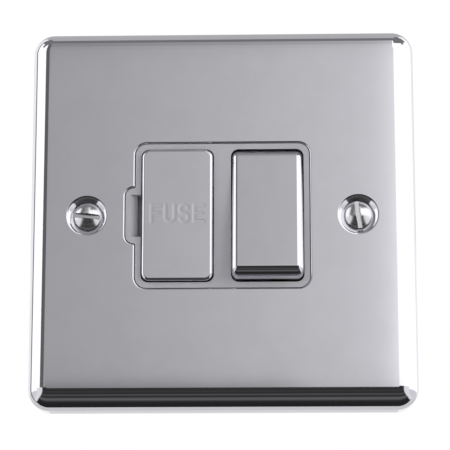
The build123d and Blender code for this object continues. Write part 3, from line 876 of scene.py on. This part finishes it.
@dataclass
class FixingScrew:
    """Raised countersunk screw with a slot and a cut thread."""

    name: str
    x: float
    slot_angle: float
    head: float = 3.3
    rim: float = 7.8
    rim_inset: float = 0.04
    rim_rise: float = 0.03
    rim_drop: float = 0.02
    shoulder: float = 7.95
    crown: float = 9.2
    neck: float = 1.5
    neck_end: float = 5.6
    neck_gap: float = 0.1
    thread: float = 1.75
    pitch: float = 0.6
    depth: float = 0.32
    tip: float = -18.0
    slot_width: float = 0.95
    slot_floor: float = 8.2
    tool_clear: float = 2.0
    flank: float = 2.6
    crest: float = 0.15
    taper: float = 0.25
    taper_length: float = 1.2
    steps: int = 72
    dome_steps: int = 18
    rows_per_turn: int = 10

    def cut_thread(self, level: float) -> list[Vector]:
        """Ring of the thread, whose radius rises and falls once a turn.

        Args:
            level: its level.

        Returns:
            Its points.
        """
        ring = []
        fade = min(1.0, (level - self.tip) / self.taper_length)
        for index in range(self.steps):
            share = ((self.neck_end - level) / self.pitch + index / self.steps) % 1.0
            ridge = min(1.0, max(0.0, self.flank * abs(share - 0.5) - self.crest))
            radius = self.thread - self.depth * ridge - self.taper * (1 - fade)
            turn = 2 * math.pi * index / self.steps
            ring.append(at(self.x + radius * math.cos(turn), level, radius * math.sin(turn)))
        return ring

    def build(self) -> bpy.types.Object:
        """Build the screw.

        Returns:
            The piece.
        """
        skin = Skin(self.name + "_turned")
        lift = self.crown - self.shoulder
        dome = (self.head ** 2 + lift ** 2) / (2 * lift)
        sweep = math.degrees(math.asin(self.head / dome))
        profile = arc((0, self.crown - dome), dome, 90, 90 - sweep, self.dome_steps)[1:]
        profile.append((self.head, self.rim + self.rim_rise))
        profile.append((self.head - self.rim_inset, self.rim - self.rim_drop))
        profile.append((self.neck, self.rim - self.head + self.neck))
        profile.append((self.neck, self.neck_end + self.neck_gap))
        rows = [circle(self.x, *place, self.steps) for place in profile]
        length = self.neck_end - self.tip
        count = int(length / self.pitch * self.rows_per_turn)
        rows += [self.cut_thread(self.neck_end - length * step / count) for step in range(count + 1)]
        rings = skin.sweep(rows)
        skin.cap(rings[0])
        skin.cap(rings[-1])
        piece = skin.piece(Finishes.SCREW)
        self.cut_slot(piece)
        return adopt(piece, "unit", "screw_chrome", self.name)

    def cut_slot(self, piece: bpy.types.Object) -> None:
        """Cut the driver slot across the head.

        Args:
            piece: the screw.
        """
        skin = Skin("slot_tool")
        a = math.radians(self.slot_angle)
        along, across = Vector((math.cos(a), math.sin(a))), Vector((-math.sin(a), math.cos(a)))
        corners = [along * (u * 2 * self.head) + across * (v * self.slot_width / 2)
                   for u, v in ((-1, -1), (1, -1), (1, 1), (-1, 1))]
        rings = skin.sweep([[at(self.x + c.x, level, c.y) for c in corners]
                            for level in (self.slot_floor, self.crown + self.tool_clear)])
        skin.cap(rings[0])
        skin.cap(rings[1])
        tool = skin.piece(Finishes.SCREW)
        cut = piece.modifiers.new("slot", "BOOLEAN")
        cut.operation = "DIFFERENCE"
        cut.solver = "EXACT"
        cut.object = tool
        graph = bpy.context.evaluated_depsgraph_get()
        bare = bpy.data.meshes.new_from_object(piece.evaluated_get(graph))
        piece.modifiers.clear()
        piece.data = bare
        bpy.data.objects.remove(tool)
        bare.set_sharp_from_angle(angle=math.radians(CREASE))
        weigh(piece)


@dataclass
class Rocker:
    """Plated rocker cap on its moulded body, with two sprung plungers."""

    x: float = 10.0
    pivot_level: float = 5.0
    tilt: float = 7.0
    window_half_height: float = 15.1
    pivot_drop: float = 3.75
    end_gap: float = 0.4
    rise: float = 5.7
    skirt: float = 1.9
    end_radius: float = 2.0
    side_radius: float = 1.4
    half_width: float = 7.9
    wall: float = 1.1
    skirt_steps: int = 6
    end_steps: int = 20
    flat_steps: int = 6
    side_steps: int = 14

    def place(self, across: float, out: float, up: float) -> Vector:
        """A point in the rocker's tilted frame, with out away from the pivot."""
        a = math.radians(self.tilt)
        return at(self.x + across, self.pivot_level + out * math.cos(a) - up * math.sin(a),
                  out * math.sin(a) + up * math.cos(a))

    def section(self, shrink: float) -> list[Point]:
        """Upright section of the cap.

        Args:
            shrink: how far it is inset all round.

        Returns:
            Points of out and up, from the lower end round to the upper end.
        """
        reach = math.hypot(self.window_half_height, self.pivot_drop) - self.end_gap - shrink
        top, radius = self.rise - shrink, self.end_radius - shrink
        centre = (top - radius, math.sqrt((reach - radius) ** 2 - (top - radius) ** 2))
        meet = math.degrees(math.atan2(centre[1], centre[0]))
        end = math.degrees(math.acos(self.skirt / reach))
        upper = arc((0, 0), reach, end, meet, self.skirt_steps)[:-1]
        upper += arc(centre, radius, meet, 0, self.end_steps)
        upper += [(top, centre[1] * (1 - step / self.flat_steps)) for step in range(1, self.flat_steps + 1)]
        lower = [(out, -up) for out, up in upper]
        return lower + upper[-2::-1]

    def build(self) -> bpy.types.Object:
        """Build the cap.

        Returns:
            The piece.
        """
        skin = Skin("rocker_cap_plated")
        loops = []
        for shrink in (0.0, self.wall):
            side = self.side_radius - shrink
            centre = (self.half_width - shrink - side, shrink + side)
            right = arc(centre, side, 0, -90, self.side_steps)
            stations = [(-across, inset) for across, inset in right] + right[::-1]
            rows = [[self.place(across, *p) for p in self.section(inset)] for across, inset in stations]
            rings = skin.sweep(rows, closed=False)
            skin.cap(rings[0])
            skin.cap(rings[-1])
            loops.append([ring[0] for ring in rings] + [ring[-1] for ring in reversed(rings)])
        skin.sheet(*loops)
        return adopt(skin.piece(Finishes.TRIM), "rocker", "trim_chrome", "rocker_cap")

    def dress(self) -> None:
        """Dress the moulded body, the plungers and their springs."""
        dress("rocker_body", Finishes.CARRIER, edge=0.15)
        dress("plungers", Finishes.PLUNGER)
        dress("plunger_springs", Finishes.SPRING)


@dataclass
class FuseCarrier:
    """Pull-out carrier with a plated front and its fuse."""

    x: float = -10.0
    half_width: float = 7.85
    half_height: float = 14.85
    corner: float = 1.7
    back: float = 7.35
    front: float = 9.75
    edge: float = 0.6
    back_edge: float = 0.1
    corner_steps: int = 14
    edge_steps: int = 20
    word_half: Point = (6.9, 2.6)
    word_z: float = 0.27
    word_step: float = 0.1
    word_depth: float = 0.018
    stroke_half: float = 0.36
    stroke_slope: float = 0.52
    strokes: tuple[tuple[Point, ...], ...] = (
        ((-5.7, -1.8), (-5.7, 1.8), (-3.7, 1.8)),
        ((-5.7, 0.1), (-4.1, 0.1)),
        ((-2.6, 1.8), *arc((-1.6, -0.8), 1.0, 180, 360, 12), (-0.6, 1.8)),
        (*arc((1.55, 0.92), 0.92, 25, 270, 14), *arc((1.55, -0.92), 0.92, 90, -155, 14)),
        ((5.9, 1.8), (3.8, 1.8), (3.8, -1.8), (5.9, -1.8)),
        ((3.8, 0.0), (5.5, 0.0)),
    )

    def outline(self, inset: float, level: float) -> list[Vector]:
        """Outline of the front, inset from its edge."""
        points = rounded_outline(self.half_width - inset, self.half_height - inset, self.corner - inset,
                                 self.corner_steps)
        return [at(self.x + x, level, z) for x, z in points]

    def sunk(self, x: float, z: float) -> float:
        """Depth of the word at a place to the right of and above its middle."""
        near = distance_to(self.strokes, x, z)
        return self.word_depth * smooth((self.stroke_half + self.stroke_slope / 2 - near) / self.stroke_slope)

    def word_patch(self, skin: Skin) -> list[bmesh.types.BMVert]:
        """Add the part of the face that holds the word, as a fine grid.

        Args:
            skin: the mesh.

        Returns:
            Its outline.
        """
        wide, high = (int(2 * half / self.word_step) for half in self.word_half)
        rows = []
        for row in range(high + 1):
            z = self.word_half[1] * (2 * row / high - 1)
            xs = [self.word_half[0] * (2 * column / wide - 1) for column in range(wide + 1)]
            rows.append([at(self.x + x, self.front - self.sunk(x, z), z + self.word_z) for x in xs])
        grid = skin.sweep(rows, closed=False)
        right = [row[-1] for row in grid[1:-1]]
        left = [row[0] for row in reversed(grid[1:-1])]
        return [*grid[0], *right, *reversed(grid[-1]), *left]

    def build(self) -> bpy.types.Object:
        """Build the plated front.

        Returns:
            The piece.
        """
        skin = Skin("fuse_carrier_front")
        profile = [(self.back_edge, self.back), (0.0, self.back + self.back_edge)]
        profile += arc((self.edge, self.front - self.edge), self.edge, 180, 90, self.edge_steps)
        rings = skin.sweep([self.outline(*place) for place in profile])
        skin.cap(rings[0])
        skin.sheet(rings[-1], self.word_patch(skin))
        return adopt(skin.piece(Finishes.TRIM), "fuse_carrier", "trim_chrome", "fuse_carrier_cap")

    def dress(self) -> None:
        """Dress the carrier's body and the fuse."""
        dress("fuse_carrier_body", Finishes.CARRIER, edge=0.12)
        dress("fuse_barrel", Finishes.CERAMIC)
        dress("fuse_end_caps", Finishes.NICKEL)


class Sign(Enum):
    """Plain terminal marks, as strokes in millimetres."""

    LIVE = (((-0.9, 1.6), (-0.9, -1.6), (1.0, -1.6)),)
    NEUTRAL = (((-1.1, -1.6), (-1.1, 1.6), (1.1, -1.6), (1.1, 1.6)),)
    EARTH = (((0.0, 1.7), (0.0, 0.4)), ((-1.6, 0.4), (1.6, 0.4)), ((-1.0, -0.5), (1.0, -0.5)),
             ((-0.4, -1.4), (0.4, -1.4)))


class Side(Enum):
    """Side of the base that a mark stands on, as the way it points along z."""

    TOP = 1
    BOTTOM = -1


@dataclass
class TerminalMark:
    """Raised moulded mark beside a wire entry, on the top or the bottom of the base."""

    sign: Sign
    name: str
    x: float
    side: Side
    level: float = -2.2
    face: float = 24.0
    rise: float = 0.28
    sink: float = 0.06
    stroke_half: float = 0.30
    slope: float = 0.22
    reach: float = 2.3
    step: float = 0.08
    crease: float = 60.0
    buried_share: float = 0.9
    root_share: float = 2.0

    def spot(self, right: float, up: float) -> Vector:
        """A point of the mark, as read from behind.

        Args:
            right: place to the reader's right.
            up: place towards the mark's upper edge.

        Returns:
            The point.
        """
        near = distance_to(self.sign.value, right, up)
        share = smooth((self.stroke_half + self.slope - near) / self.slope)
        height = self.face + share * (self.rise + self.sink) - self.sink
        return at(self.x - right, self.level + self.side.value * up, self.side.value * height)

    def build(self) -> bpy.types.Object:
        """Build the mark.

        Returns:
            The piece.
        """
        skin = Skin(self.name)
        count = int(2 * self.reach / self.step)
        places = [self.reach * (2 * index / count - 1) for index in range(count + 1)]
        skin.sweep([[self.spot(right, up) for right in places] for up in places], closed=False)
        floor = (self.face - self.buried_share * self.sink) * MM
        buried = [face for face in skin.mesh.faces if all(abs(corner.co.z) < floor for corner in face.verts)]
        bmesh.ops.delete(skin.mesh, geom=buried, context="FACES")
        top = [*skin.mesh.verts, *skin.mesh.edges, *skin.mesh.faces]
        for made in bmesh.ops.extrude_face_region(skin.mesh, geom=top, use_keep_orig=True)["geom"]:
            if isinstance(made, bmesh.types.BMVert):
                made.co.z = self.side.value * (self.face - self.root_share * self.sink) * MM
        return adopt(skin.piece(Finishes.BASE, self.crease), "unit", "base_white")


@dataclass
class Interior:
    """Mouldings and metalwork behind the plate."""

    groups: tuple[tuple[Finish, float, tuple[str, ...]], ...] = (
        (Finishes.INSERT, 0.14, ("front_moulding",)),
        (Finishes.BASE, 0.22, ("rear_base",)),
        (Finishes.TERMINAL, 0.15, ("supply_live_terminal", "supply_neutral_terminal", "load_live_terminal",
                                   "load_neutral_terminal", "earth_terminal")),
        (Finishes.STRIP, 0.06, ("live_fixed_contact", "neutral_fixed_contact", "live_pivot_bracket",
                                "neutral_pivot_bracket", "live_contact_arm", "neutral_contact_arm",
                                "upper_fuse_clip", "lower_fuse_clip", "earth_strap")),
        (Finishes.SILVER, 0.08, ("fixed_tips", "live_moving_tip", "neutral_moving_tip")),
        (Finishes.ZINC, 0.08, ("terminal_screws", "assembly_screws", "plate_studs", "stud_nuts")),
    )
    marks: tuple[TerminalMark, ...] = (
        TerminalMark(Sign.LIVE, "supply_live_mark", 5.1, Side.TOP),
        TerminalMark(Sign.NEUTRAL, "supply_neutral_mark", 14.9, Side.TOP),
        TerminalMark(Sign.LIVE, "load_live_mark", -12.5, Side.BOTTOM),
        TerminalMark(Sign.NEUTRAL, "load_neutral_mark", 14.9, Side.BOTTOM),
        TerminalMark(Sign.EARTH, "earth_mark", 5.0, Side.BOTTOM),
    )

    def build(self) -> None:
        """Build the raised marks of the base."""
        for mark in self.marks:
            mark.build()

    def dress(self) -> None:
        """Dress the mouldings and the metal parts."""
        for finish, edge, nodes in self.groups:
            for node in nodes:
                dress(node, finish, edge)


class Hang(Enum):
    """How a studio panel is curved: upright round the object, or over it."""

    UPRIGHT = "upright"
    OVERHEAD = "overhead"


@dataclass
class Panel:
    """Curved studio panel that only reflections see, given by the angles that it covers."""

    name: str
    hang: Hang
    turn: Point
    rise: Point
    tone: float = 0.0
    radius: float = 3.0
    stops: tuple[Point, ...] = ()
    step: float = 2.0

    def direction(self, turn: float, rise: float) -> Vector:
        """Direction from the object.

        Args:
            turn: angle to the right in degrees.
            rise: angle upwards in degrees.

        Returns:
            A unit vector.
        """
        t, r = math.radians(turn), math.radians(rise)
        if self.hang is Hang.UPRIGHT:
            return Vector((math.sin(t) * math.cos(r), -math.cos(t) * math.cos(r), math.sin(r)))
        return Vector((math.sin(t), -math.cos(t) * math.cos(r), math.cos(t) * math.sin(r)))

    def build(self) -> bpy.types.Object:
        """Build the panel.

        Returns:
            The stage object.
        """
        skin = Skin(self.name)
        (left, right), (low, high) = self.turn, self.rise
        across, along = (max(2, int((end - start) / self.step)) for start, end in (self.turn, self.rise))
        rows = []
        for step in range(along + 1):
            rise = low + (high - low) * step / along
            turns = [left + (right - left) * index / across for index in range(across + 1)]
            rows.append([self.direction(turn, rise) * self.radius for turn in turns])
        skin.sweep(rows, closed=False)
        made = skin.linked(self.material())
        made.visible_camera = False
        made.visible_diffuse = False
        made.visible_shadow = False
        made.visible_transmission = False
        return made

    def glow(self, shader: Shader) -> Any:
        """Tone of the cloth over its height.

        Args:
            shader: the cloth's node tree.

        Returns:
            A plain colour, or a ramp from the lower to the upper end.
        """
        if not self.stops:
            return grey(self.tone)
        low, high = self.rise
        return shader.ramp((self.pitch(shader) - low) / (high - low), self.stops)

    @staticmethod
    def pitch(shader: Shader) -> Sock:
        """Angle upwards of a place on the cloth, in degrees."""
        sides = {0: shader.along("Z"), 1: 0 - shader.along("Y")}
        return shader.node("ShaderNodeMath", {"operation": "ARCTAN2"}, sides) * math.degrees(1)

    def material(self) -> bpy.types.Material:
        """Glowing cloth.

        Returns:
            The material.
        """
        made = bpy.data.materials.new(self.name)
        made.use_nodes = True
        shader = Shader(made.node_tree)
        glow = shader.node("ShaderNodeEmission", inputs={"Color": self.glow(shader)})
        made.node_tree.links.new(glow.link, shader.output.inputs["Surface"])
        return made


@dataclass
class FrontCloth(Panel):
    """Grey cloth before the plate, lighter to the right, darker at its foot and in two steps to its top."""

    foot: Point = (7.15, 7.6)
    foot_shade: float = 0.45
    foot_end: Point = (-0.02, 0.09)
    middle: Point = (17.7, 18.2)
    middle_shade: float = 0.12
    top: Point = (31.0, 46.0)
    top_shade: float = 0.2

    def glow(self, shader: Shader) -> Any:
        """Tone of the cloth.

        Args:
            shader: the cloth's node tree.

        Returns:
            The colour.
        """
        side, pitch = shader.along("X"), self.pitch(shader)
        low, high = (self.radius * math.sin(math.radians(turn)) for turn in self.turn)
        tone = shader.ramp((side - low) / (high - low), self.stops)
        foot = pitch.span(*self.foot, self.foot_shade, 0.0) * side.span(*self.foot_end, 1.0, 0.0)
        middle = pitch.span(*self.middle, 0.0, self.middle_shade)
        top = pitch.span(*self.top, 0.0, self.top_shade)
        return shader.tint(1 - (1 - foot) * (1 - middle) * (1 - top), tone, grey(0.0))


@dataclass
class LowCloth(Panel):
    """Cloth below the plate, black with grey streaks, between pale sides that draw apart further down."""

    fade: Point = (26.0, 33.0)
    deep: Point = (-80.0, -2.0)
    deep_fade: float = 46.0

    def glow(self, shader: Shader) -> Any:
        """Tone of the cloth.

        Args:
            shader: the cloth's node tree.

        Returns:
            The colour.
        """
        side = shader.along("X")
        turns = (*self.fade, self.deep_fade)
        near, far, deep = ((self.radius * math.sin(math.radians(turn))) ** 2 for turn in turns)
        wider = self.pitch(shader).span(*self.deep, deep - near, 0.0)
        pale = (side * side - wider).span(near, far)
        return shader.tint(pale, super().glow(shader), grey(self.tone))


@dataclass
class Studio:
    """Camera, floor, lamps, panels and the white surround."""

    distance: float = 0.4673
    azimuth: float = 1.66
    elevation: float = -12.5
    scale: float = 4.424
    aim: Point = (0.32, -0.29)
    picture: int = 450
    sensor: float = 36.0
    clip: Point = (0.01, 20.0)
    floor_z: float = -0.30
    floor_tone: float = 0.86
    floor_grid: tuple[float, ...] = (-4.0, -1.0, 0.0, 1.0, 4.0)
    fill: float = 0.55
    lamps: tuple[tuple[str, Triple, float, float], ...] = (
        ("key_lamp", (0.95, -0.6, 0.4), 7.6, 0.7),
        ("fill_lamp", (-0.7, -0.7, 0.5), 2.4, 0.8),
        ("rear_lamp", (0.3, 0.9, 0.8), 4.0, 0.8),
    )
    panels: tuple[Panel, ...] = (
        FrontCloth("front_cloth", Hang.OVERHEAD, (-30, 4), (6.95, 62),
                   stops=((0.0, 0.40), (0.66, 0.421), (0.715, 0.451), (0.827, 0.529), (0.931, 0.621),
                          (0.951, 0.643), (0.9755, 0.69), (0.991, 0.80), (1.0, 0.90))),
        Panel("left_flag", Hang.UPRIGHT, (-44, -23.5), (-5, 52), 0.13, 2.9),
        Panel("left_softbox", Hang.UPRIGHT, (-104, -44), (-6, 52), 1.3),
        Panel("left_low_card", Hang.UPRIGHT, (-136, -62), (-60, -6), 0.75, 2.95),
        Panel("left_high_flag", Hang.UPRIGHT, (-112, -28), (50, 78), 0.2, 2.85),
        Panel("right_high_flag", Hang.UPRIGHT, (14, 112), (44, 78), 0.2, 2.85),
        Panel("left_back_flag", Hang.UPRIGHT, (-116, -105), (-40, 60), 0.25, 2.9),
        LowCloth("low_cloth", Hang.OVERHEAD, (-62, 60), (-116, 6.95), 0.88, 2.8,
                 stops=((0.0, 0.02), (0.25, 0.02), (0.35, 0.03), (0.41, 0.085), (0.47, 0.14), (0.53, 0.085),
                        (0.58, 0.035), (0.63, 0.035), (0.675, 0.11), (0.72, 0.035), (0.78, 0.035),
                        (0.83, 0.05), (0.9, 0.03), (1.0, 0.05))),
        Panel("under_cloth", Hang.OVERHEAD, (-40, 40), (-172, -116), 0.68, 2.9),
        Panel("overhead_gap", Hang.OVERHEAD, (-50, 50), (62, 81), 0.2, 2.9),
        Panel("rear_cloth", Hang.OVERHEAD, (-22, 22), (81, 168), 0.5),
        Panel("right_softbox", Hang.UPRIGHT, (3, 128), (-20, 75), 1.3, 3.1),
        Panel("right_low_card", Hang.UPRIGHT, (62, 136), (-60, -6), 0.75, 2.95),
    )

    def camera(self) -> None:
        """Set the camera at the photograph's angle."""
        a, e = math.radians(self.azimuth), math.radians(self.elevation)
        back = Vector((math.sin(a) * math.cos(e), -math.cos(a) * math.cos(e), math.sin(e)))
        data = bpy.data.cameras.new("photo_camera")
        data.sensor_width = self.sensor
        data.lens = self.scale * self.distance / MM / self.picture * self.sensor
        data.clip_start, data.clip_end = self.clip
        made = bpy.data.objects.new("photo_camera", data)
        bpy.context.scene.collection.objects.link(made)
        turn = (-back).to_track_quat("-Z", "Y")
        right, up = turn @ Vector((1, 0, 0)), turn @ Vector((0, 1, 0))
        made.location = back * self.distance + (right * self.aim[0] + up * self.aim[1]) * MM
        made.rotation_mode = "QUATERNION"
        made.rotation_quaternion = turn
        bpy.context.scene.camera = made

    def world(self) -> None:
        """White surround that the camera and reflections see, and a softer fill for the rest."""
        world = bpy.data.worlds.new("surround")
        bpy.context.scene.world = world
        world.use_nodes = True
        shader = Shader(world.node_tree, "ShaderNodeOutputWorld")
        path = shader.node("ShaderNodeLightPath", out="Is Camera Ray")
        rays = path.link.node
        seen = path.larger(Sock(shader, rays.outputs["Is Glossy Ray"]))
        seen = seen.larger(Sock(shader, rays.outputs["Is Transmission Ray"]))
        fill, white = (shader.node("ShaderNodeBackground", inputs={"Color": grey(1.0), "Strength": strength})
                       for strength in (self.fill, 1.0))
        mixed = shader.node("ShaderNodeMixShader", inputs={0: seen, 1: fill, 2: white})
        world.node_tree.links.new(mixed.link, shader.output.inputs["Surface"])

    @staticmethod
    def lamp(name: str, place: Triple, power: float, size: float) -> None:
        """Add a soft lamp aimed at the object.

        Args:
            name: its name.
            place: where it hangs, in metres.
            power: its power.
            size: its side, in metres.
        """
        data = bpy.data.lights.new(name, "AREA")
        data.energy = power
        data.size = size
        made = bpy.data.objects.new(name, data)
        bpy.context.scene.collection.objects.link(made)
        made.location = place
        made.rotation_mode = "QUATERNION"
        made.rotation_quaternion = (-Vector(place)).to_track_quat("-Z", "Y")
        made.visible_glossy = False
        made.visible_camera = False

    def floor(self) -> None:
        """Pale floor well below the object."""
        skin = Skin("floor")
        rows = [[Vector((x, y, self.floor_z)) for x in self.floor_grid] for y in self.floor_grid]
        skin.sweep(rows, closed=False)
        made = skin.linked(FloorPaint("floor_paint", grey(self.floor_tone)).material())
        made.visible_glossy = False

    def build(self) -> None:
        """Set up the whole studio."""
        self.camera()
        self.world()
        self.floor()
        for lamp in self.lamps:
            self.lamp(*lamp)
        for panel in self.panels:
            panel.build()
        bpy.context.scene.view_settings.view_transform = "Standard"
        LOG.info("studio with %d panels", len(self.panels))


def main() -> None:
    """Build and dress the unit, then set the studio."""
    logging.basicConfig(level=logging.INFO, format="%(name)s: %(message)s")
    plate = Faceplate()
    plate.build()
    FixingScrew("left_fixing_screw", -plate.screw_x, -5.0).build()
    FixingScrew("right_fixing_screw", plate.screw_x, 98.0).build()
    rocker = Rocker()
    rocker.build()
    rocker.dress()
    carrier = FuseCarrier()
    carrier.build()
    carrier.dress()
    interior = Interior()
    interior.build()
    interior.dress()
    Studio().build()


if __name__ == "__main__":
    main()
